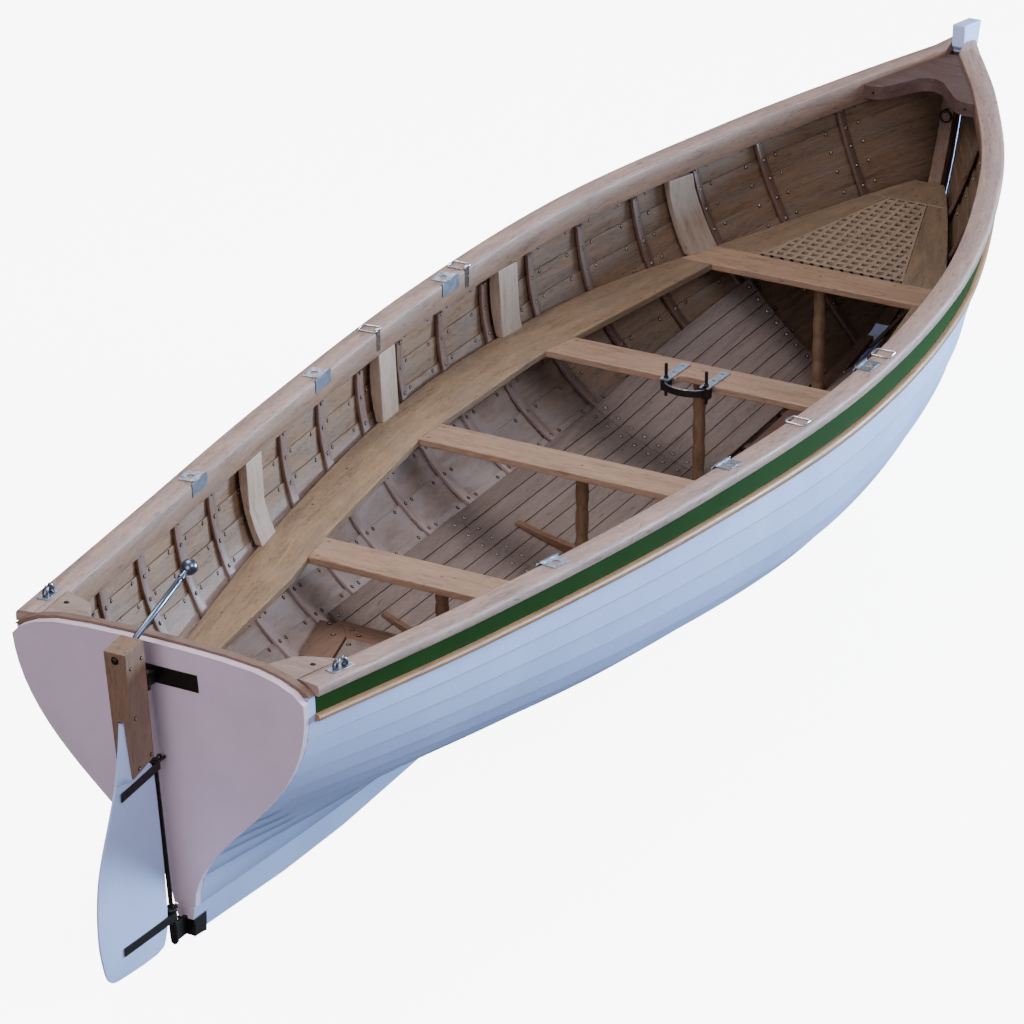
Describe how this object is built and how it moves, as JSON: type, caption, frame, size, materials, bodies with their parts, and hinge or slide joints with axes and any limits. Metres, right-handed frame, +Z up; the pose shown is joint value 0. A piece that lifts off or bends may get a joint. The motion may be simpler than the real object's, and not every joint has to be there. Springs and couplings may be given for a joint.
{
  "type": "tender boat",
  "caption": "Open clinker-built wooden tender with thwarts, side benches, bow grating, rowlock plates, mast gate and a hung rudder with tiller.",
  "frame": {"origin": "amidships on the centreplane at the waterline, 0.19 m above the keel's underside", "axes": "+X to the bow, +Y to port, +Z up"},
  "size_m": [5.1151, 1.5086, 1.122],
  "materials": {
    "white_paint": "semi-gloss paint",
    "green_paint": "semi-gloss paint",
    "rail_wood": "oiled",
    "strake_wood": "varnished",
    "rib_wood": "oiled",
    "bench_wood": "oiled",
    "thwart_wood": "varnished",
    "floor_wood": "worn",
    "dark_wood": "stained",
    "rudder_wood": "stained",
    "steel": "polished",
    "black_iron": "black"
  },
  "bodies": {
    "hull": {"apron": "rib_wood", "bow_grating": "thwart_wood", "bow_seat": "bench_wood", "bow_thwart": "bench_wood", "breasthook": "rib_wood", "floor_bearer": "rib_wood", "floorboards_port": "floor_wood", "floorboards_starboard": "floor_wood", "foot_stretcher_1": "dark_wood", "foot_stretcher_2": "dark_wood", "frames": "rib_wood", "gunwale_port": "rail_wood", "gunwale_starboard": "rail_wood", "keel": "white_paint", "lashing_loop_port_1": "steel", "lashing_loop_port_2": "steel", "lashing_loop_starboard_1": "steel", "lashing_loop_starboard_2": "steel", "mast_strap_port": "steel", "mast_strap_starboard": "steel", "pintle_rod": "black_iron", "planking_port": "white_paint", "planking_starboard": "white_paint", "quarter_fairlead_port": "steel", "quarter_fairlead_starboard": "steel", "quarter_knee_port": "rail_wood", "quarter_knee_starboard": "rail_wood", "rowlock_plate_port_1": "steel", "rowlock_plate_port_2": "steel", "rowlock_plate_port_3": "steel", "rowlock_plate_starboard_1": "steel", "rowlock_plate_starboard_2": "steel", "rowlock_plate_starboard_3": "steel", "rubbing_strake_port": "strake_wood", "rubbing_strake_starboard": "strake_wood", "sheer_strake_port": "green_paint", "sheer_strake_starboard": "green_paint", "side_bench_port": "bench_wood", "side_bench_starboard": "bench_wood", "stem": "white_paint", "thwart_1": "thwart_wood", "thwart_2": "thwart_wood", "thwart_3": "thwart_wood", "thwart_pillar_1": "rib_wood", "thwart_pillar_2": "rib_wood", "thwart_pillar_3": "rib_wood", "thwart_pillar_4": "rib_wood", "transom": "white_paint", "transom_bracket": "black_iron", "transom_frame": "dark_wood"},
    "rudder": {"rudder_stock": "rudder_wood", "rudder_blade": "white_paint", "rudder_strap_upper": "black_iron", "rudder_strap_lower": "black_iron", "tiller": "steel"},
    "mast_gate": {"mast_gate": "black_iron"}
  },
  "joints": [
    {"name": "rudder_turn", "type": "hinge", "parent": "hull", "child": "rudder", "pos_m": [-2.39803, 0, 0.11], "axis": [-0.122, 0, 0.9925], "range_deg": [-35, 35]},
    {"name": "mast_gate_turn", "type": "hinge", "parent": "hull", "child": "mast_gate", "pos_m": [0.4295, 0.067, 0.36552], "axis": [0, 0, -1], "range_deg": [0, 100]}
  ]
}
